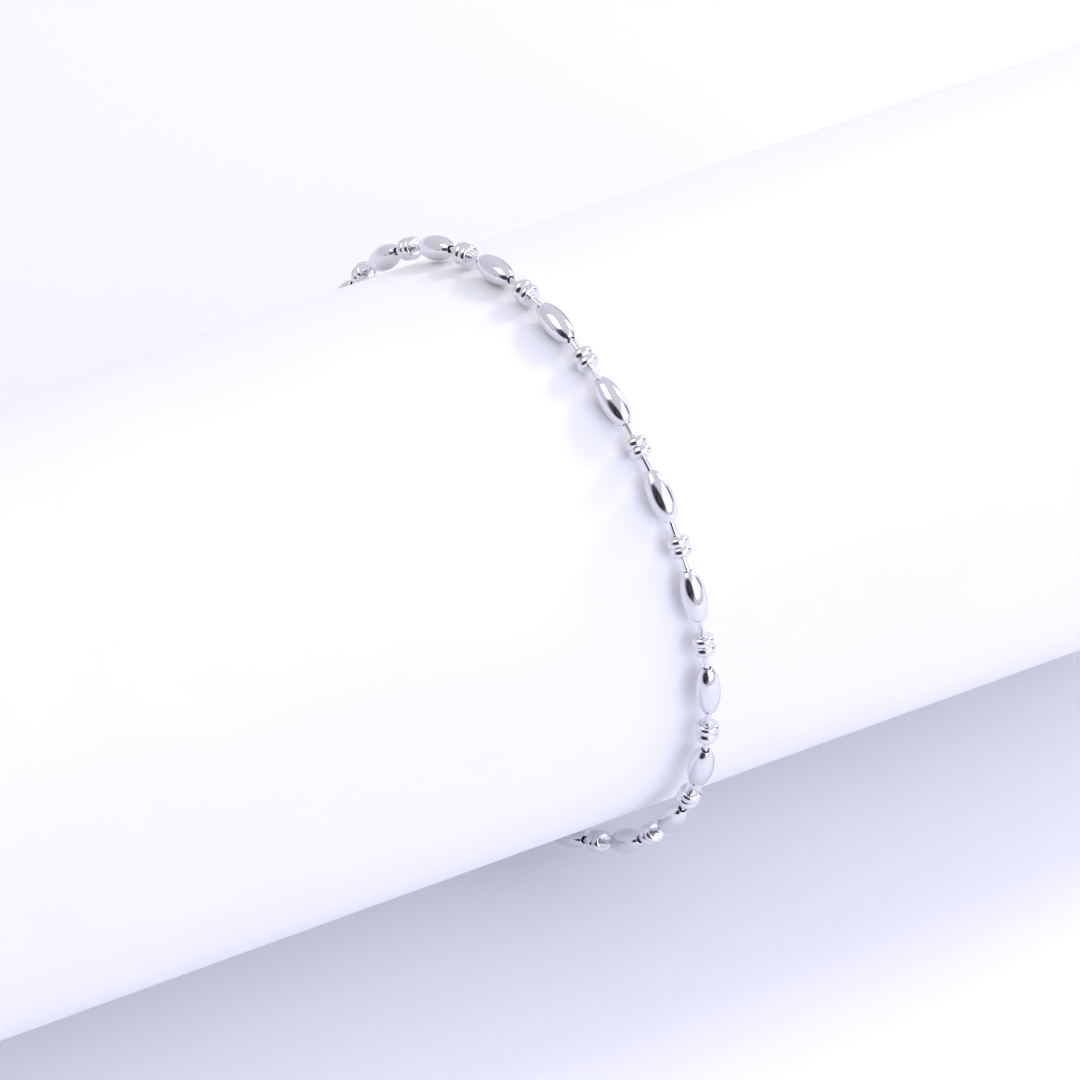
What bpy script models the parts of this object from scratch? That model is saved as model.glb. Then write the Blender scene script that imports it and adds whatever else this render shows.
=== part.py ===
"""A chain bracelet of long oval beads and double-ring beads, closed round a plain display bar.

The bar lies level along X, with its left end face at the origin. Lengths are in metres, +Z is up.
The chain's centre line is one closed curve round the bar. It touches along the top, hangs a little
clear underneath, and leans along the bar, because the bracelet is slack. Each oval bead is a thin
hollow shell. Each double-ring bead carries two wire posts, whose heads are held inside the ovals.
"""

import math

import bpy
import bmesh
from mathutils import Matrix, Vector

MM = 0.001

# Display bar
BAR_LENGTH = 160.0 * MM
BAR_DIAMETER = 53.0 * MM
BAR_EDGE = 0.8 * MM

# Wire post, with the head that holds it inside the oval bead
WIRE_DIAMETER = 0.50 * MM
SHORTEST_POST = 1.25 * MM
HOLE_CLEARANCE = 0.10 * MM
HOLE_DIAMETER = WIRE_DIAMETER + 2 * HOLE_CLEARANCE
HEAD_HOLD = 0.10 * MM
HEAD_DIAMETER = HOLE_DIAMETER + 2 * HEAD_HOLD
HEAD_LENGTH = 0.24 * MM
HEAD_PLAY = 0.35 * MM

# Oval bead
OVAL_LENGTH = 4.75 * MM
OVAL_DIAMETER = 2.30 * MM
OVAL_WALL = 0.20 * MM

# Double-ring bead: two round-edged rings side by side, with a collar at each end
DOUBLE_RING_DIAMETER = 2.08 * MM
DOUBLE_RING_LENGTH = 1.86 * MM
GROOVE_DEPTH = 0.33 * MM
COLLAR_WALL = 0.13 * MM
COLLAR_DIAMETER = WIRE_DIAMETER + 2 * COLLAR_WALL
COLLAR_LENGTH = 0.18 * MM

# End eyes, jump rings and the clasp, which the bar hides from the front
EYE_WIRE = 0.44 * MM
EYE_NECK = 0.30 * MM
JUMP_WIRE = 0.60 * MM
JUMP_OPENING = 2.30 * MM
LINK_PLAY = 0.12 * MM
PULLED = 0.13 * MM
EYE_OPENING = JUMP_WIRE + 2 * (LINK_PLAY + PULLED)
CLASP_LENGTH = 9.05 * MM
CLASP_DIAMETER = 2.20 * MM
CLASP_END_DIAMETER = 1.20 * MM

# The way that the chain goes round the bar
BEAD_CLEARANCE = 0.10 * MM
HANG_BELOW = 1.40 * MM
LOOP_PLACE = 80.0 * MM
LEAN_OF_FRONT = 4.90 * MM
LEAN_OF_TOP = 2.30 * MM
BOW = -0.70 * MM
CLASP_ANGLE = math.radians(-133.8)

# The oval bead's outline is an ellipse this many times as long as the bead, cut off at the holes.
# The stations are shares of its half length.
OVAL_ELLIPSE = 1.075
OVAL_OUTSIDE_STATIONS = (-0.90, -0.50, 0.0, 0.50, 0.90)
OVAL_INSIDE_STATIONS = (0.80, 0.0, -0.80)

# One ring of the double-ring bead, from the groove to the collar.
# Columns: share of the bead's half length, share of the way from the bead's greatest radius to its collar
RING_STATIONS = (
    (0.13, 0.24),
    (0.38, 0.0),
    (0.62, 0.0),
    (0.87, 0.24),
    (0.98, 0.52),
)

BEAD_SIDES = 12
WIRE_SIDES = 6
BAR_SIDES = 72
CURVE_STEPS = 1440
SAME_PLACE = 0.001 * MM
CREASE_ANGLE = math.radians(50)


def material(name, colour, roughness, metallic):
    """A Principled material in one plain colour."""
    made = bpy.data.materials.new(name)
    made.use_nodes = True
    shader = made.node_tree.nodes["Principled BSDF"]
    shader.inputs["Base Color"].default_value = (*colour, 1.0)
    shader.inputs["Roughness"].default_value = roughness
    shader.inputs["Metallic"].default_value = metallic
    made.diffuse_color = (*colour, 1.0)
    return made


def turned_mesh(name, profile, sides, closed=False):
    """A solid turned about X from (x, radius) points. A closed profile leaves a bore along the axis."""
    shape = bmesh.new()
    points = [shape.verts.new((x, 0.0, radius)) for x, radius in profile]
    pairs = list(zip(points, points[1:]))
    if closed:
        pairs.append((points[-1], points[0]))
    edges = [shape.edges.new(pair) for pair in pairs]
    bmesh.ops.spin(
        shape,
        geom=points + edges,
        cent=(0.0, 0.0, 0.0),
        axis=(1.0, 0.0, 0.0),
        angle=math.tau,
        steps=sides,
        use_merge=True,
    )
    return finished_mesh(name, shape)


def wire_ring_mesh(name, opening, wire, axis, centre):
    """A round ring of round wire: opening is its inner diameter, and axis the way through it."""
    shape = bmesh.new()
    axis = Vector(axis)
    outward = Vector((1.0, 0.0, 0.0))
    middle = centre + outward * (opening + wire) / 2
    points = [
        shape.verts.new(middle + (outward * math.cos(turn) + axis * math.sin(turn)) * wire / 2)
        for turn in (math.tau * step / WIRE_SIDES for step in range(WIRE_SIDES))
    ]
    edges = [shape.edges.new((points[i - 1], points[i])) for i in range(WIRE_SIDES)]
    bmesh.ops.spin(
        shape,
        geom=points + edges,
        cent=centre,
        axis=axis,
        angle=math.tau,
        steps=BEAD_SIDES,
        use_merge=True,
    )
    return finished_mesh(name, shape)


def finished_mesh(name, shape):
    """Closes the seam, points the faces outwards and shades the round faces smooth."""
    bmesh.ops.remove_doubles(shape, verts=shape.verts, dist=SAME_PLACE)
    bmesh.ops.recalc_face_normals(shape, faces=shape.faces)
    mesh = bpy.data.meshes.new(name)
    shape.to_mesh(mesh)
    shape.free()
    mesh.shade_smooth()
    mesh.set_sharp_from_angle(angle=CREASE_ANGLE)
    return mesh


def placed(name, mesh, finish, place):
    """An object of that mesh, standing at that place."""
    made = bpy.data.objects.new(name, mesh)
    if not mesh.materials:
        mesh.materials.append(finish)
    bpy.context.scene.collection.objects.link(made)
    made.matrix_world = place
    return made


def joined_to(base, *added):
    """Boolean unions that make base and the added shapes one solid. The added shapes stay hidden."""
    for shape in added:
        shape.hide_render = True
        shape.display_type = "WIRE"
        shape.matrix_world = base.matrix_world
        union = base.modifiers.new("with_" + shape.name, "BOOLEAN")
        union.operation = "UNION"
        union.solver = "EXACT"
        union.object = shape
    return base


# A straight bead's middle lies nearer to the bar than the curve that its ends are on
BEAD_RADIUS = max(OVAL_DIAMETER, DOUBLE_RING_DIAMETER) / 2
CHORD_SINK = OVAL_LENGTH**2 / (4 * (BAR_DIAMETER + OVAL_DIAMETER))
SEAT_RADIUS = BAR_DIAMETER / 2 + BEAD_RADIUS + BEAD_CLEARANCE + CHORD_SINK


def loop_point(angle):
    """The chain's centre line: angle 0 is the bar's front (-Y), and a quarter turn is its top."""
    hang = HANG_BELOW * (1 - math.sin(angle)) / 2
    radius = SEAT_RADIUS + hang
    lean = LEAN_OF_FRONT * math.cos(angle) + LEAN_OF_TOP * math.sin(angle) + BOW * math.sin(2 * angle)
    return Vector((LOOP_PLACE + lean, -radius * math.cos(angle), radius * math.sin(angle)))


def loop_table():
    """Points of the closed centre line from the clasp round to the clasp, each with its distance."""
    points = [loop_point(CLASP_ANGLE + math.tau * step / CURVE_STEPS) for step in range(CURVE_STEPS + 1)]
    distances = [0.0]
    for before, after in zip(points, points[1:]):
        distances.append(distances[-1] + (after - before).length)
    return points, distances


LOOP_POINTS, LOOP_DISTANCES = loop_table()
LOOP_LENGTH = LOOP_DISTANCES[-1]


def along_loop(distance):
    """The centre line's point at a distance from the clasp's middle; it may be negative."""
    distance %= LOOP_LENGTH
    step = next(i for i, reached in enumerate(LOOP_DISTANCES) if reached >= distance)
    step = max(step, 1)
    before, after = LOOP_DISTANCES[step - 1], LOOP_DISTANCES[step]
    return LOOP_POINTS[step - 1].lerp(LOOP_POINTS[step], (distance - before) / (after - before))


def frame_between(start, end):
    """A place midway between two points: X runs from start to end, and Z points away from the bar."""
    middle = (start + end) / 2
    forward = (end - start).normalized()
    outward = Vector((0.0, middle.y, middle.z))
    outward = (outward - forward * outward.dot(forward)).normalized()
    turn = Matrix((forward, outward.cross(forward), outward)).transposed()
    return Matrix.Translation(middle) @ turn.to_4x4()


def frame_on_loop(distance, length):
    """The place of a straight piece of that length, whose two ends lie on the centre line."""
    return frame_between(along_loop(distance - length / 2), along_loop(distance + length / 2))


# Distances along the chain
EYE_RADIUS = (EYE_OPENING + EYE_WIRE) / 2
JUMP_RADIUS = (JUMP_OPENING + JUMP_WIRE) / 2
EYE_TO_EYE = 2 * (JUMP_RADIUS + PULLED)
END_EYE_AT = DOUBLE_RING_LENGTH / 2 + COLLAR_LENGTH + EYE_NECK + EYE_RADIUS
CLASP_EYE_AT = CLASP_LENGTH / 2 + EYE_NECK + EYE_RADIUS
FIRST_RING_AT = CLASP_EYE_AT + EYE_TO_EYE + END_EYE_AT
SHORTEST_PITCH = OVAL_LENGTH + DOUBLE_RING_LENGTH + 2 * SHORTEST_POST
OVAL_COUNT = math.floor((LOOP_LENGTH - 2 * FIRST_RING_AT) / SHORTEST_PITCH)
PITCH = (LOOP_LENGTH - 2 * FIRST_RING_AT) / OVAL_COUNT
POST_GAP = (PITCH - OVAL_LENGTH - DOUBLE_RING_LENGTH) / 2


def oval_radius(share, radius):
    """The oval's radius at a share of its half length."""
    return radius * math.sqrt(1 - (share / OVAL_ELLIPSE) ** 2)


def oval_bead_mesh():
    """The hollow oval shell, with a hole for the wire at each end."""
    half = OVAL_LENGTH / 2
    hole = HOLE_DIAMETER / 2
    outside = [(half * s, oval_radius(s, OVAL_DIAMETER / 2)) for s in OVAL_OUTSIDE_STATIONS]
    inner_half = half - OVAL_WALL
    inner = OVAL_DIAMETER / 2 - OVAL_WALL
    inside = [(inner_half * s, oval_radius(s, inner)) for s in OVAL_INSIDE_STATIONS]
    profile = [(-half, hole), *outside, (half, hole), (inner_half, hole), *inside, (-inner_half, hole)]
    return turned_mesh("oval_bead", profile, BEAD_SIDES, closed=True)


def double_ring_profile():
    """The two rings with their groove and collars, as (x, radius) points from end to end."""
    ring = DOUBLE_RING_DIAMETER / 2
    half = DOUBLE_RING_LENGTH / 2
    collar = COLLAR_DIAMETER / 2
    right = [
        (0.0, ring - GROOVE_DEPTH),
        *((half * along, ring + (collar - ring) * inwards) for along, inwards in RING_STATIONS),
        (half, collar),
        (half + COLLAR_LENGTH, collar),
        (half + COLLAR_LENGTH, WIRE_DIAMETER / 2),
    ]
    return mirrored(right[1:]) + right


def post_end():
    """The wire from a collar to its head inside the next oval, as (x, radius) points."""
    under_head = DOUBLE_RING_LENGTH / 2 + POST_GAP + OVAL_WALL + HEAD_PLAY
    return [
        (under_head, WIRE_DIAMETER / 2),
        (under_head + HEAD_LENGTH / 2, HEAD_DIAMETER / 2),
        (under_head + HEAD_LENGTH, 0.0),
    ]


def end_stub():
    """The short wire from a collar into the wire of an end eye."""
    reach = END_EYE_AT - EYE_RADIUS
    return [(reach, WIRE_DIAMETER / 2), (reach, 0.0)]


def mirrored(profile):
    """The same points at the other end, in order."""
    return [(-x, radius) for x, radius in reversed(profile)]


def make_display_bar(finish):
    """The plain level bar that the bracelet is shown on, its end edges eased."""
    radius = BAR_DIAMETER / 2
    profile = [
        (0.0, 0.0),
        (0.0, radius - BAR_EDGE),
        (BAR_EDGE, radius),
        (BAR_LENGTH - BAR_EDGE, radius),
        (BAR_LENGTH, radius - BAR_EDGE),
        (BAR_LENGTH, 0.0),
    ]
    placed("display_bar", turned_mesh("display_bar", profile, BAR_SIDES), finish, Matrix.Identity(4))


def make_oval_beads(finish):
    """The oval beads, one midway between each two double-ring beads."""
    mesh = oval_bead_mesh()
    for number in range(OVAL_COUNT):
        place = frame_on_loop(FIRST_RING_AT + PITCH * (number + 0.5), OVAL_LENGTH)
        placed(f"oval_bead_{number + 1:02d}", mesh, finish, place)


def make_double_rings(finish):
    """The double-ring beads between the ovals, each with a post and a head at both ends."""
    profile = mirrored(post_end()) + double_ring_profile() + post_end()
    mesh = turned_mesh("double_ring", profile, BEAD_SIDES)
    for number in range(1, OVAL_COUNT):
        placed(f"double_ring_{number:02d}", mesh, finish, double_ring_place(number))


def make_end_rings(finish):
    """The double-ring beads at the two ends of the chain, each with a post and a head at one end and
    an eye for a jump ring at the other."""
    for end, number, side in (("first", 0, -1), ("last", OVAL_COUNT, 1)):
        profile = mirrored(end_stub()) + double_ring_profile() + post_end()
        if side > 0:
            profile = mirrored(profile)
        name = "end_ring_" + end
        bead = placed(name, turned_mesh(name, profile, BEAD_SIDES), finish, double_ring_place(number))
        centre = Vector((side * END_EYE_AT, 0.0, 0.0))
        eye_mesh = wire_ring_mesh(name + "_eye", EYE_OPENING, EYE_WIRE, (0.0, 1.0, 0.0), centre)
        joined_to(bead, placed(name + "_eye", eye_mesh, finish, Matrix.Identity(4)))


def double_ring_place(number):
    """Where a double-ring bead stands: its posts reach the ovals on the centre line."""
    reach = DOUBLE_RING_LENGTH + 2 * POST_GAP
    return frame_on_loop(FIRST_RING_AT + PITCH * number, reach)


def clasp_place():
    """Where the clasp stands: its two eyes lie on the centre line."""
    return frame_on_loop(0.0, 2 * CLASP_EYE_AT)


def make_clasp(finish):
    """A plain barrel clasp in one piece, with an eye at each end."""
    half = CLASP_LENGTH / 2
    radius = CLASP_DIAMETER / 2
    end = CLASP_END_DIAMETER / 2
    round_end = radius - end
    reach = half + EYE_NECK
    right = [
        (half - round_end, radius),
        (half, end),
        (half, WIRE_DIAMETER / 2),
        (reach, WIRE_DIAMETER / 2),
        (reach, 0.0),
    ]
    barrel_mesh = turned_mesh("clasp", mirrored(right) + right, BEAD_SIDES)
    barrel = placed("clasp", barrel_mesh, finish, clasp_place())
    eyes = []
    for side in (-1, 1):
        name = "clasp_eye_" + ("left" if side < 0 else "right")
        centre = Vector((side * CLASP_EYE_AT, 0.0, 0.0))
        eye_mesh = wire_ring_mesh(name, EYE_OPENING, EYE_WIRE, (0.0, 1.0, 0.0), centre)
        eyes.append(placed(name, eye_mesh, finish, Matrix.Identity(4)))
    joined_to(barrel, *eyes)


def make_jump_rings(finish):
    """The two jump rings, each lying flat through one eye of the clasp and one end eye of the chain."""
    centre = Vector((0.0, 0.0, 0.0))
    mesh = wire_ring_mesh("jump_ring", JUMP_OPENING, JUMP_WIRE, (0.0, 0.0, 1.0), centre)
    for end, number, side in (("last", OVAL_COUNT, -1), ("first", 0, 1)):
        at_clasp = clasp_place() @ Vector((side * CLASP_EYE_AT, 0.0, 0.0))
        at_chain = double_ring_place(number) @ Vector((-side * END_EYE_AT, 0.0, 0.0))
        placed("jump_ring_" + end, mesh, finish, frame_between(at_clasp, at_chain))


def main():
    """Clears the file and builds the bar and the bracelet."""
    for old in list(bpy.data.objects):
        bpy.data.objects.remove(old)
    steel = material("polished_steel", (0.80, 0.80, 0.82), 0.08, 1.0)
    matt_white = material("matt_white_lacquer", (0.90, 0.90, 0.92), 0.60, 0.0)
    make_display_bar(matt_white)
    make_oval_beads(steel)
    make_double_rings(steel)
    make_end_rings(steel)
    make_jump_rings(steel)
    make_clasp(steel)


main()
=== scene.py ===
"""A chain bracelet of polished oval beads and double-ring beads round a white display bar.

Lengths are in metres and +Z is up. The bar lies along X, and the camera looks at it from its front left.
"""

import math

import bpy
import numpy as np
from mathutils import Matrix, Vector


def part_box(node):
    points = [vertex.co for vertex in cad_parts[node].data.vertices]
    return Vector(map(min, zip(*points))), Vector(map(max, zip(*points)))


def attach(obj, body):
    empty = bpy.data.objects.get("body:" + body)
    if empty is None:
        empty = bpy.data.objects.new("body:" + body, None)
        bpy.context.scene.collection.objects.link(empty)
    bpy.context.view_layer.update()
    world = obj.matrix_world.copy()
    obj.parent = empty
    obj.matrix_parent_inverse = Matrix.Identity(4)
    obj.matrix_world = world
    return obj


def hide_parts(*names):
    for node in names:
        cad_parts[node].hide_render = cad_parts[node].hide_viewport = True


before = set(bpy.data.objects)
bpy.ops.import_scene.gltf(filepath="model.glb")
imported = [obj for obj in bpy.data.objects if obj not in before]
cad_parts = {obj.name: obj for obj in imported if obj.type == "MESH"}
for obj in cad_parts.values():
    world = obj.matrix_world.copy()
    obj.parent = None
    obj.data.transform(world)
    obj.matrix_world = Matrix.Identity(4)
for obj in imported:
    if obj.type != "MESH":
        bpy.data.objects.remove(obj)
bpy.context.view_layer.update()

# The view: the camera stands to the left, well above the bar, with a long lens, so that the chain
# comes over the bar towards it and the bar's own lines stay nearly parallel. Nothing is out of focus.
# The focal length is in pixels of the square frame.
MM = 0.001
CAMERA_AZIMUTH = math.radians(-27.6)
CAMERA_ELEVATION = math.radians(41.6)
CAMERA_DISTANCE = 720 * MM
CAMERA_DROP = 0.7 * MM
LOOKED_AT = Vector((83.12 * MM, 0.0, 0.0))
SENSOR_WIDTH = 36.0
FRAME_SIDE = 1080
FOCAL_LENGTH = 8000


def direction(azimuth, elevation):
    """The unit vector from the bracelet to a compass place: azimuth 0 is the bar's front, 90 its right."""
    level = math.cos(elevation)
    return Vector((math.sin(azimuth) * level, -math.cos(azimuth) * level, math.sin(elevation)))


to_camera = direction(CAMERA_AZIMUTH, CAMERA_ELEVATION)
camera_up = direction(CAMERA_AZIMUTH, CAMERA_ELEVATION + math.pi / 2)
bpy.ops.object.camera_add(location=LOOKED_AT + to_camera * CAMERA_DISTANCE - camera_up * CAMERA_DROP)
camera = bpy.context.active_object
camera.rotation_euler = (-to_camera).to_track_quat("-Z", "Y").to_euler()
camera.data.lens = SENSOR_WIDTH * FOCAL_LENGTH / FRAME_SIDE
camera.data.sensor_width = SENSOR_WIDTH
camera.data.clip_start = 10 * MM
bpy.context.scene.camera = camera
bpy.context.scene.view_settings.view_transform = "Standard"

# The studio: a cool grey room, lighter to the right, with one dark corner behind the camera's left
# shoulder, which the beads mirror as their black patches. A dim gap, between the softboxes in front
# and those at the far right, draws the thin dark line along them.
ROOM_LEFT = (0.72, 0.71, 0.81)
ROOM_RIGHT = (0.82, 0.81, 0.91)
RIGHT_SIDE = direction(math.radians(100), math.radians(25))
RIGHT_SIDE_FADE = (-0.5, 0.8)
DARK_CORNER_DEEP = (0.030, 0.026, 0.040)
DARK_CORNER_PALE = (0.120, 0.110, 0.140)
CLUTTER_SCALE = 3.5
CLUTTER_LIMITS = (0.38, 0.62)
DARK_CORNER = direction(math.radians(-53), math.radians(24))
DARK_CORNER_REACH = (math.radians(44), math.radians(37))
DARK_CORNER_CORE = 0.62
DIM_GAP_TONE = (0.07, 0.06, 0.09)
DIM_GAP = direction(math.radians(79), math.radians(13))
DIM_GAP_REACH = (math.radians(8), math.radians(20))
DIM_GAP_CORE = 0.60


def add_node(tree, kind, inputs, **settings):
    """Adds a node with its settings. An input is given a value, or the socket that it is linked to."""
    made = tree.nodes.new(kind)
    for name, value in settings.items():
        setattr(made, name, value)
    for socket, value in inputs.items():
        if isinstance(value, bpy.types.NodeSocket):
            tree.links.new(value, made.inputs[socket])
        else:
            made.inputs[socket].default_value = value
    return made


studio = bpy.data.worlds.new("soft_studio")
bpy.context.scene.world = studio
studio.use_nodes = True
tree = studio.node_tree
looked_way = add_node(tree, "ShaderNodeTexCoord", {}).outputs["Generated"]


def toward(way):
    """How near the looked way is to a fixed way: the cosine of the angle between them."""
    turned = add_node(tree, "ShaderNodeVectorMath", {0: looked_way, 1: way}, operation="DOT_PRODUCT")
    return turned.outputs["Value"]


def room_patch(way, reach, core):
    """A soft-edged oval patch of the room: 1 within its core, 0 beyond its reach across and up."""
    across = Vector((0.0, 0.0, 1.0)).cross(way).normalized()
    upward = way.cross(across)
    offset = {"X": toward(across / math.sin(reach[0])), "Y": toward(upward / math.sin(reach[1]))}
    flat = add_node(tree, "ShaderNodeCombineXYZ", offset).outputs["Vector"]
    away = add_node(tree, "ShaderNodeVectorMath", {0: flat}, operation="LENGTH").outputs["Value"]
    limits = {"Value": away, "From Min": 1.0, "From Max": core}
    return add_node(tree, "ShaderNodeMapRange", limits, interpolation_type="SMOOTHSTEP").outputs["Result"]


def blend(share, first, second):
    """The first colour where the share is 0 and the second where it is 1."""
    mixed = add_node(tree, "ShaderNodeMix", {"Factor": share, "A": first, "B": second}, data_type="RGBA")
    return mixed.outputs["Result"]


right_limits = {"Value": toward(RIGHT_SIDE), "From Min": RIGHT_SIDE_FADE[0], "From Max": RIGHT_SIDE_FADE[1]}
rightness = add_node(tree, "ShaderNodeMapRange", right_limits, interpolation_type="SMOOTHSTEP")
walls = blend(rightness.outputs["Result"], (*ROOM_LEFT, 1.0), (*ROOM_RIGHT, 1.0))
clutter = add_node(tree, "ShaderNodeTexNoise", {"Vector": looked_way, "Scale": CLUTTER_SCALE, "Detail": 2.0})
clutter_limits = {
    "Value": clutter.outputs["Fac"],
    "From Min": CLUTTER_LIMITS[0],
    "From Max": CLUTTER_LIMITS[1],
}
clutter_share = add_node(tree, "ShaderNodeMapRange", clutter_limits).outputs["Result"]
corner = blend(clutter_share, (*DARK_CORNER_DEEP, 1.0), (*DARK_CORNER_PALE, 1.0))
walls = blend(room_patch(DARK_CORNER, DARK_CORNER_REACH, DARK_CORNER_CORE), walls, corner)
walls = blend(room_patch(DIM_GAP, DIM_GAP_REACH, DIM_GAP_CORE), walls, (*DIM_GAP_TONE, 1.0))
tree.links.new(walls, tree.nodes["Background"].inputs["Color"])

# The softboxes. A wide dim one and a small bright one stand in front, to the right of the camera, and
# give the broad white band on every bead. A tall one stands at the far right beyond the dim gap, with
# a small bright lamp beside it that casts the petal-shaped shadows of the beads on the bar. One hangs
# high on the left, and gives the small white patch near each bead's top.
SOFTBOX_DISTANCE = 0.60


def softbox(name, azimuth, elevation, width, height, colour):
    """A softbox that faces the bracelet. Its colour is also how bright its cloth looks."""
    way = direction(math.radians(azimuth), math.radians(elevation))
    bpy.ops.object.light_add(type="AREA", location=LOOKED_AT + way * SOFTBOX_DISTANCE)
    lamp = bpy.context.active_object
    lamp.name = name
    lamp.rotation_euler = way.to_track_quat("Z", "Y").to_euler()
    lamp.data.shape = "RECTANGLE"
    lamp.data.size = width
    lamp.data.size_y = height
    lamp.data.color = colour
    lamp.data.energy = math.pi * width * height


softbox("wide_softbox", 36, 33, 0.74, 0.50, (0.43, 0.43, 0.60))
softbox("bright_softbox", 13, 26, 0.36, 0.36, (2.10, 2.15, 3.00))
softbox("far_right_softbox", 103, 27, 0.20, 0.36, (1.40, 1.40, 1.50))
softbox("far_right_lamp", 98, 36, 0.11, 0.11, (22.0, 22.0, 23.0))
softbox("high_left_softbox", -110, 58, 0.44, 0.38, (0.90, 0.96, 0.95))

# The table: a wide sheet of white laminate under the bar. It is not part of the bracelet, and it is
# only there to take the shadows and to light the beads from below.
TABLE_HEIGHT = -32 * MM
TABLE_SIZE = 3.0


def linear(hexadecimal):
    """An sRGB hex colour as the linear colour that a shader takes."""
    parts = [int(hexadecimal[i : i + 2], 16) / 255 for i in (1, 3, 5)]
    return tuple(c / 12.92 if c <= 0.04045 else ((c + 0.055) / 1.055) ** 2.4 for c in parts) + (1.0,)


laminate = bpy.data.materials.new("white_laminate")
laminate.use_nodes = True
shader = laminate.node_tree.nodes["Principled BSDF"]
shader.inputs["Base Color"].default_value = linear("#F4F4F5")
shader.inputs["Roughness"].default_value = 0.7
shader.inputs["IOR"].default_value = 1.48
bpy.ops.mesh.primitive_plane_add(size=TABLE_SIZE, location=(LOOKED_AT.x, 0.0, TABLE_HEIGHT))
table = bpy.context.active_object
table.name = "table"
table.data.materials.append(laminate)

# The display bar: a turned bar with a sprayed matt white lacquer, its end edges eased by sanding.
# It is held at its ends, outside the view. The lacquer has the faint grain of a dry spray coat.
BAR_EDGE = 0.8 * MM
BAR_EDGE_STEPS = 6
BAR_SIDES = 320
BAR_CUTS = 47
BAR_SMOOTH_UNDER = math.radians(30)
LACQUER_GRAIN = 0.9 * MM
LACQUER_GRAIN_DEPTH = 0.0012 * MM
SPRAY_CLOUD = 14 * MM

lacquer = bpy.data.materials.new("matt_white_lacquer")
lacquer.use_nodes = True
tree = lacquer.node_tree
shader = tree.nodes["Principled BSDF"]
place_on_bar = add_node(tree, "ShaderNodeTexCoord", {}).outputs["Object"]
cloud = add_node(
    tree, "ShaderNodeTexNoise", {"Vector": place_on_bar, "Scale": 1 / SPRAY_CLOUD, "Detail": 3.0}
)
whites = add_node(
    tree,
    "ShaderNodeMix",
    {"Factor": cloud.outputs["Fac"], "A": linear("#F2F2F3"), "B": linear("#F6F6F6")},
    data_type="RGBA",
)
grain = add_node(
    tree, "ShaderNodeTexNoise", {"Vector": place_on_bar, "Scale": 1 / LACQUER_GRAIN, "Detail": 4.0}
)
dryness = add_node(
    tree, "ShaderNodeMapRange", {"Value": grain.outputs["Fac"], "To Min": 0.50, "To Max": 0.66}
)
orange_peel = add_node(
    tree, "ShaderNodeBump", {"Height": grain.outputs["Fac"], "Distance": LACQUER_GRAIN_DEPTH}
)
tree.links.new(whites.outputs["Result"], shader.inputs["Base Color"])
tree.links.new(dryness.outputs["Result"], shader.inputs["Roughness"])
tree.links.new(orange_peel.outputs["Normal"], shader.inputs["Normal"])
shader.inputs["IOR"].default_value = 1.46

bar_low, bar_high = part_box("display_bar")
bpy.ops.object.select_all(action="DESELECT")
bpy.ops.mesh.primitive_cylinder_add(
    vertices=BAR_SIDES,
    radius=(bar_high.z - bar_low.z) / 2,
    depth=bar_high.x - bar_low.x,
    location=(bar_low + bar_high) / 2,
    rotation=(0.0, math.pi / 2, 0.0),
)
bar = bpy.context.active_object
bar.name = "lacquered_bar"
bpy.ops.object.transform_apply()
bpy.ops.object.mode_set(mode="EDIT")
bpy.ops.mesh.select_mode(type="EDGE")
bpy.ops.mesh.select_all(action="DESELECT")
bpy.ops.object.mode_set(mode="OBJECT")
for edge in bar.data.edges:
    first, second = (bar.data.vertices[corner].co for corner in edge.vertices)
    edge.select = abs(first.x - second.x) > BAR_EDGE
bpy.ops.object.mode_set(mode="EDIT")
bpy.ops.mesh.subdivide(number_cuts=BAR_CUTS)
bpy.ops.mesh.select_mode(type="FACE")
bpy.ops.mesh.select_all(action="DESELECT")
bpy.ops.object.mode_set(mode="OBJECT")
for face in bar.data.polygons:
    face.select = abs(face.normal.x) > 0.9
bpy.ops.object.mode_set(mode="EDIT")
bpy.ops.mesh.bevel(offset=BAR_EDGE, segments=BAR_EDGE_STEPS)
bpy.ops.object.mode_set(mode="OBJECT")
bpy.ops.object.shade_smooth_by_angle(angle=BAR_SMOOTH_UNDER)
bar.data.materials.append(lacquer)
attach(bar, "root")
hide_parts("display_bar")

# The oval beads: drawn from steel tube, so each is a thin hollow shell with a rolled lip round the
# wire hole at either end, then tumbled and polished to a mirror.
OVAL_WALL = 0.20 * MM
OVAL_ELLIPSE = 1.075
HOLE_RADIUS = 0.35 * MM
LIP_RADIUS = 0.06 * MM
LIP_STEPS = 6
BEAD_SIDES = 64
OUTSIDE_STEPS = 36
INSIDE_STEPS = 20
SAME_PLACE = 0.0002 * MM
SMOOTH_UNDER = math.radians(40)
POLISH_WAVE = 0.75 * MM
POLISH_WAVE_DEPTH = 0.0011 * MM
HAIRLINE = 0.05 * MM
HAIRLINE_STRETCH = (1.0, 0.12, 0.12)

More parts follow.
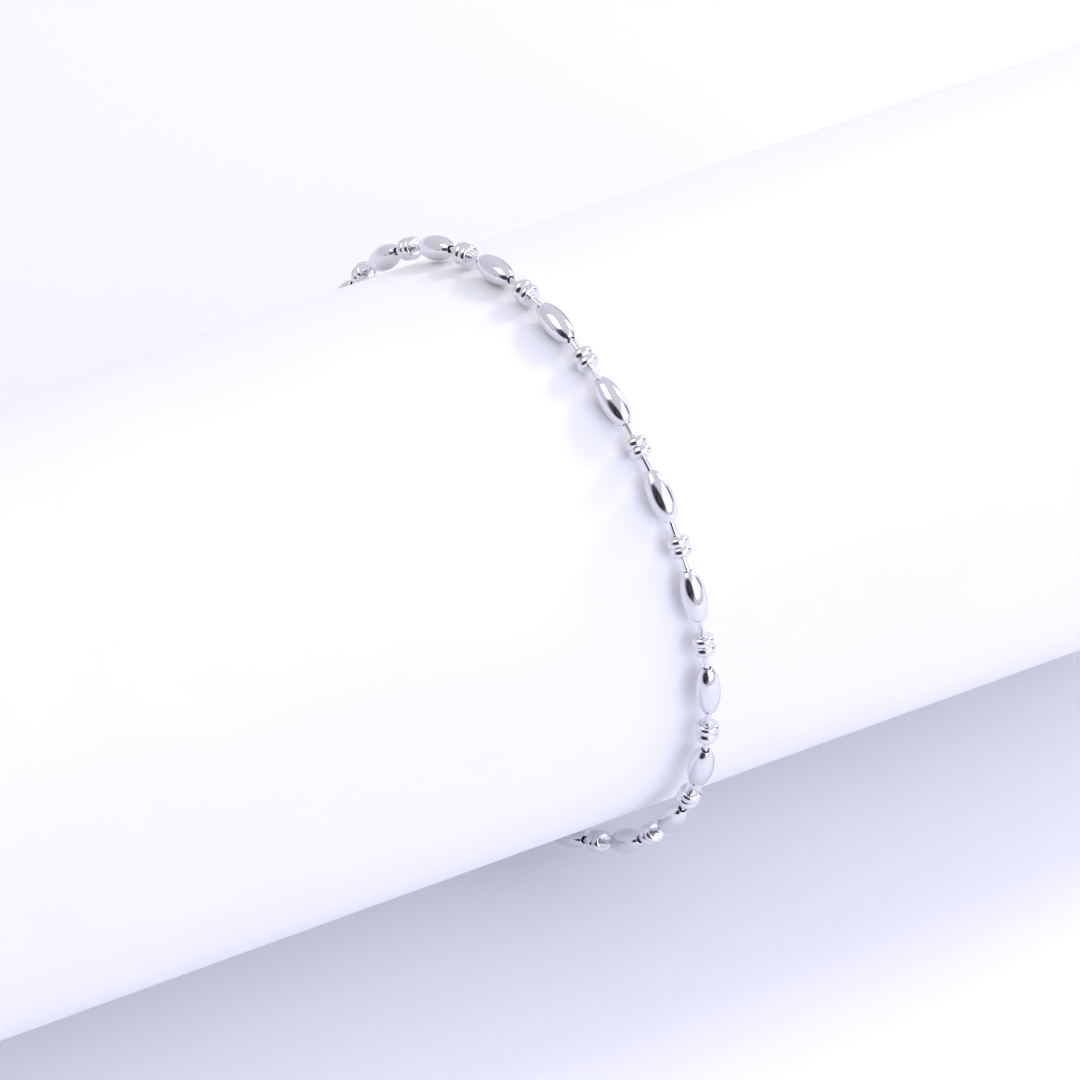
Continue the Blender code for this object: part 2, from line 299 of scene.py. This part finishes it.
# Mirror-polished steel: a cool bright metal whose reflections waver a little, because the wheel that
# polished it leaves the surface very slightly uneven, with hairlines that only dull it here and there.
steel = bpy.data.materials.new("mirror_polished_steel")
steel.use_nodes = True
tree = steel.node_tree
shader = tree.nodes["Principled BSDF"]
place_on_steel = add_node(tree, "ShaderNodeTexCoord", {}).outputs["Object"]
along_wheel = add_node(tree, "ShaderNodeMapping", {"Vector": place_on_steel, "Scale": HAIRLINE_STRETCH})
hairlines = add_node(
    tree,
    "ShaderNodeTexNoise",
    {"Vector": along_wheel.outputs["Vector"], "Scale": 1 / HAIRLINE, "Detail": 3.0},
)
dulled = add_node(
    tree,
    "ShaderNodeMapRange",
    {"Value": hairlines.outputs["Fac"], "From Min": 0.35, "From Max": 0.75, "To Min": 0.03, "To Max": 0.10},
)
wave = add_node(
    tree, "ShaderNodeTexNoise", {"Vector": place_on_steel, "Scale": 1 / POLISH_WAVE, "Detail": 1.0}
)
waver = add_node(tree, "ShaderNodeBump", {"Height": wave.outputs["Fac"], "Distance": POLISH_WAVE_DEPTH})
tree.links.new(dulled.outputs["Result"], shader.inputs["Roughness"])
tree.links.new(waver.outputs["Normal"], shader.inputs["Normal"])
shader.inputs["Base Color"].default_value = linear("#E3E3E6")
shader.inputs["Metallic"].default_value = 1.0


def arc(centre, radius, start, end, steps):
    """Points round part of a circle in an outline, as (along, out) from the turning axis, in degrees."""
    turns = [math.radians(start + (end - start) * step / steps) for step in range(steps + 1)]
    return [(centre[0] + radius * math.cos(turn), centre[1] + radius * math.sin(turn)) for turn in turns]


def mirrored(outline):
    """The same outline at the other end of the piece, in order."""
    return [(-along, out) for along, out in reversed(outline)]


def turned_piece(name, outline):
    """A piece turned about X: one corner is extruded along the outline, which is then spun right round."""
    bpy.ops.object.select_all(action="DESELECT")
    bpy.ops.mesh.primitive_plane_add(size=MM, enter_editmode=True)
    bpy.ops.mesh.select_mode(type="VERT")
    bpy.ops.mesh.select_all(action="SELECT")
    bpy.ops.mesh.merge(type="CENTER")
    bpy.ops.transform.translate(value=(outline[0][0], 0.0, outline[0][1]))
    for before, after in zip(outline, outline[1:]):
        step = (after[0] - before[0], 0.0, after[1] - before[1])
        bpy.ops.mesh.extrude_vertices_move(TRANSFORM_OT_translate={"value": step})
    bpy.ops.mesh.select_all(action="SELECT")
    bpy.ops.mesh.spin(steps=BEAD_SIDES, angle=math.tau, center=(0.0, 0.0, 0.0), axis=(1.0, 0.0, 0.0))
    bpy.ops.mesh.select_all(action="SELECT")
    bpy.ops.mesh.remove_doubles(threshold=SAME_PLACE)
    bpy.ops.mesh.normals_make_consistent(inside=False)
    bpy.ops.object.mode_set(mode="OBJECT")
    piece = bpy.context.active_object
    piece.name = name
    bpy.ops.object.shade_smooth_by_angle(angle=SMOOTH_UNDER)
    piece.data.materials.append(steel)
    return piece


def turned_node(node):
    """A turned CAD node's middle, the way of its axis, its reach each way along it, and its radius."""
    corners = np.unique([vertex.co[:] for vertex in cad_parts[node].data.vertices], axis=0)
    middle = corners.mean(axis=0)
    spread = corners - middle
    axis = np.linalg.eigh(spread.T @ spread)[1][:, 2]
    along = spread @ axis
    out = np.linalg.norm(spread - np.outer(along, axis), axis=1)
    return Vector(middle), Vector(axis), -along.min(), along.max(), out.max()


def on_bar(middle, forward):
    """The place of a piece whose X runs along forward, and whose Z points away from the bar."""
    outward = Vector((0.0, middle.y, middle.z))
    outward = (outward - forward * outward.dot(forward)).normalized()
    turn = Matrix((forward, outward.cross(forward), outward)).transposed()
    return Matrix.Translation(middle) @ turn.to_4x4()


def copied_to(pattern, name, place, node):
    """A copy of the pattern piece with its own mesh, in its place on the bracelet."""
    bpy.ops.object.select_all(action="DESELECT")
    pattern.select_set(True)
    bpy.context.view_layer.objects.active = pattern
    bpy.ops.object.duplicate()
    piece = bpy.context.active_object
    piece.name = name
    piece.matrix_world = place
    bpy.ops.object.transform_apply()
    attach(piece, "root")
    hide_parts(node)
    return piece


oval_nodes = sorted(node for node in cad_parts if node.startswith("oval_bead"))
_, _, oval_half, _, oval_radius = turned_node(oval_nodes[0])


def oval_arc(half, radius, reach, steps):
    """Points along the side of the oval, from -reach to reach, on an ellipse that is cut off at its ends."""
    last = math.asin(reach / (half * OVAL_ELLIPSE))
    turns = [last * (2 * step / steps - 1) for step in range(steps + 1)]
    return [(half * OVAL_ELLIPSE * math.sin(turn), radius * math.cos(turn)) for turn in turns]


lip_centre = (oval_half - LIP_RADIUS, HOLE_RADIUS + LIP_RADIUS)
right_lip = arc(lip_centre, LIP_RADIUS, 40, -90, LIP_STEPS)
inner_half = oval_half - OVAL_WALL
oval_inside = oval_arc(inner_half, oval_radius - OVAL_WALL, inner_half, INSIDE_STEPS)
oval_outline = [
    *mirrored(right_lip),
    *oval_arc(oval_half, oval_radius, oval_half - LIP_RADIUS / 2, OUTSIDE_STEPS),
    *right_lip,
    *reversed(oval_inside),
]
oval_pattern = turned_piece("oval_pattern", [*oval_outline, oval_outline[0]])
for node in oval_nodes:
    middle, forward, _, _, _ = turned_node(node)
    copied_to(oval_pattern, node.replace("bead", "shell"), on_bar(middle, forward), node)
bpy.data.objects.remove(oval_pattern)

# The double-ring beads: two full-round rings side by side on a wire, soldered along the groove and
# at a small collar on each side. The wire's ends are melted to heads, which the ovals hold.
RING_SECTION = 0.465 * MM
GROOVE_DEPTH = 0.20 * MM
COLLAR_RADIUS = 0.38 * MM
COLLAR_LENGTH = 0.18 * MM
COLLAR_FILLET = 0.05 * MM
COLLAR_EASE = 0.03 * MM
FILLET_STEPS = 4
EASE_STEPS = 3
WIRE_RADIUS = 0.25 * MM
HEAD_RADIUS = 0.45 * MM
HEAD_LENGTH = 0.24 * MM
HEAD_STEPS = 12
RING_STEPS = 28

ring_nodes = sorted(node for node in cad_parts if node.startswith("double_ring"))
_, _, post_reach, _, ring_radius = turned_node(ring_nodes[0])
ring_half = 2 * RING_SECTION
collar_end = ring_half + COLLAR_LENGTH
ring_middle = ring_radius - RING_SECTION
groove_side = (RING_SECTION**2 + GROOVE_DEPTH**2) / (2 * GROOVE_DEPTH)
groove_start = 90 + math.degrees(math.asin(RING_SECTION / groove_side))
head_middle = post_reach - HEAD_LENGTH / 2
head_start = math.asin(WIRE_RADIUS / HEAD_RADIUS)
right_rings = [
    *arc((RING_SECTION, ring_radius - groove_side), groove_side, groove_start, 90, RING_STEPS // 2),
    *arc((RING_SECTION, ring_middle), RING_SECTION, 90, 0, RING_STEPS // 2)[1:],
    *arc((ring_half + COLLAR_FILLET, COLLAR_RADIUS + COLLAR_FILLET), COLLAR_FILLET, 180, 270, FILLET_STEPS),
    *arc((collar_end - COLLAR_EASE, COLLAR_RADIUS - COLLAR_EASE), COLLAR_EASE, 90, 0, EASE_STEPS),
    *arc((collar_end + COLLAR_FILLET, WIRE_RADIUS + COLLAR_FILLET), COLLAR_FILLET, 180, 270, EASE_STEPS),
]
head_turn = math.pi - head_start
head_turns = [head_turn - head_turn * step / HEAD_STEPS for step in range(HEAD_STEPS + 1)]
post_head = [
    (head_middle + HEAD_LENGTH / 2 * math.cos(turn), HEAD_RADIUS * math.sin(turn)) for turn in head_turns
]
right_half = [*right_rings, *post_head]
rings_pattern = turned_piece("rings_pattern", [*mirrored(right_half), *right_half[1:]])
for node in ring_nodes:
    middle, forward, _, _, _ = turned_node(node)
    copied_to(rings_pattern, node.replace("double_ring", "ring_pair"), on_bar(middle, forward), node)
bpy.data.objects.remove(rings_pattern)

# The two end rings: like the others on the side of the chain, but with a round eye of wire soldered
# to the outer side, through which a jump ring passes.
EYE_WIRE = 0.44 * MM
EYE_OPENING = 1.10 * MM
EYE_RADIUS = (EYE_WIRE + EYE_OPENING) / 2
EYE_SIDES = 48
WIRE_SIDES = 20


def wire_eye(at, major):
    """A closed ring of eye wire, lying in the piece's XZ plane."""
    bpy.ops.object.select_all(action="DESELECT")
    bpy.ops.mesh.primitive_torus_add(
        major_radius=major,
        minor_radius=EYE_WIRE / 2,
        major_segments=EYE_SIDES,
        minor_segments=WIRE_SIDES,
        location=(at, 0.0, 0.0),
        rotation=(math.pi / 2, 0.0, 0.0),
    )
    bpy.ops.object.transform_apply()
    return bpy.context.active_object


def soldered(base, *added):
    """The base with the added pieces joined to it as one body, the way solder joins them."""
    for piece in added:
        union = base.modifiers.new("solder", "BOOLEAN")
        union.operation = "UNION"
        union.object = piece
        bpy.context.view_layer.objects.active = base
        bpy.ops.object.modifier_apply(modifier=union.name)
        bpy.data.objects.remove(piece)
    bpy.ops.object.select_all(action="DESELECT")
    base.select_set(True)
    bpy.context.view_layer.objects.active = base
    bpy.ops.object.shade_smooth_by_angle(angle=SMOOTH_UNDER)
    return base


for end, oval in (("first", oval_nodes[0]), ("last", oval_nodes[-1])):
    node = "end_ring_" + end
    middle, forward, back_reach, front_reach, _ = turned_node(node)
    if forward.dot(turned_node(oval)[0] - middle) < 0:
        forward = -forward
        back_reach, front_reach = front_reach, back_reach
    middle = middle + forward * (front_reach - post_reach)
    eye_at = back_reach + front_reach - post_reach - EYE_RADIUS - EYE_WIRE / 2
    stub = [(eye_at - EYE_RADIUS, WIRE_RADIUS), (eye_at - EYE_RADIUS, 0.0)]
    ring = turned_piece("end_pattern", [*mirrored([*right_rings, *stub]), *right_half[1:]])
    soldered(ring, wire_eye(-eye_at, EYE_RADIUS))
    copied_to(ring, "end_pair_" + end, on_bar(middle, forward), node)
    bpy.data.objects.remove(ring)

# The jump rings: a turn of round wire sawn off a coil, closed butt to butt, so a fine cut shows at
# one place. Each lies flat on the bar's side of the chain, through an end eye and an eye of the clasp.
JUMP_WIRE = 0.60 * MM
JUMP_OPENING = 2.30 * MM
JUMP_RADIUS = (JUMP_WIRE + JUMP_OPENING) / 2
SAW_CUT = 0.04 * MM

bpy.ops.object.select_all(action="DESELECT")
bpy.ops.mesh.primitive_circle_add(
    vertices=WIRE_SIDES,
    radius=JUMP_WIRE / 2,
    fill_type="NGON",
    location=(JUMP_RADIUS, 0.0, 0.0),
    rotation=(math.pi / 2, 0.0, 0.0),
    enter_editmode=True,
)
bpy.ops.mesh.spin(
    steps=EYE_SIDES * 2,
    angle=math.tau - SAW_CUT / JUMP_RADIUS,
    center=(0.0, 0.0, 0.0),
    axis=(0.0, 0.0, 1.0),
)
bpy.ops.mesh.select_all(action="SELECT")
bpy.ops.mesh.normals_make_consistent(inside=False)
bpy.ops.object.mode_set(mode="OBJECT")
jump_pattern = bpy.context.active_object
bpy.ops.object.transform_apply()
bpy.ops.object.shade_smooth_by_angle(angle=SMOOTH_UNDER)
jump_pattern.data.materials.append(steel)
clasp_middle, clasp_forward, _, clasp_reach, _ = turned_node("clasp")
for end in ("first", "last"):
    node = "jump_ring_" + end
    low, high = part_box(node)
    middle = (low + high) / 2
    copied_to(jump_pattern, "jump_link_" + end, on_bar(middle, (middle - clasp_middle).normalized()), node)
bpy.data.objects.remove(jump_pattern)

# The clasp: a plain barrel with rounded shoulders and an eye at each end. A fine groove round its
# middle is where its two halves meet. It lies under the bar, out of the camera's sight.
CLASP_RADIUS = 1.10 * MM
CLASP_HALF = 4.525 * MM
SHOULDER = 0.50 * MM
SHOULDER_STEPS = 12
SEAM_HALF_WIDTH = 0.06 * MM
SEAM_DEPTH = 0.08 * MM

clasp_eye_at = clasp_reach - EYE_RADIUS - EYE_WIRE / 2
right_barrel = [
    (0.0, CLASP_RADIUS - SEAM_DEPTH),
    (SEAM_HALF_WIDTH / 2, CLASP_RADIUS - SEAM_DEPTH),
    (SEAM_HALF_WIDTH, CLASP_RADIUS),
    *arc((CLASP_HALF - SHOULDER, CLASP_RADIUS - SHOULDER), SHOULDER, 90, 0, SHOULDER_STEPS),
    *arc((CLASP_HALF + COLLAR_FILLET, WIRE_RADIUS + COLLAR_FILLET), COLLAR_FILLET, 180, 270, FILLET_STEPS),
    (clasp_eye_at - EYE_RADIUS, WIRE_RADIUS),
    (clasp_eye_at - EYE_RADIUS, 0.0),
]
barrel = turned_piece("barrel", [*mirrored(right_barrel), *right_barrel[1:]])
soldered(barrel, wire_eye(-clasp_eye_at, EYE_RADIUS), wire_eye(clasp_eye_at, EYE_RADIUS))
copied_to(barrel, "barrel_clasp", on_bar(clasp_middle, clasp_forward), "clasp")
bpy.data.objects.remove(barrel)
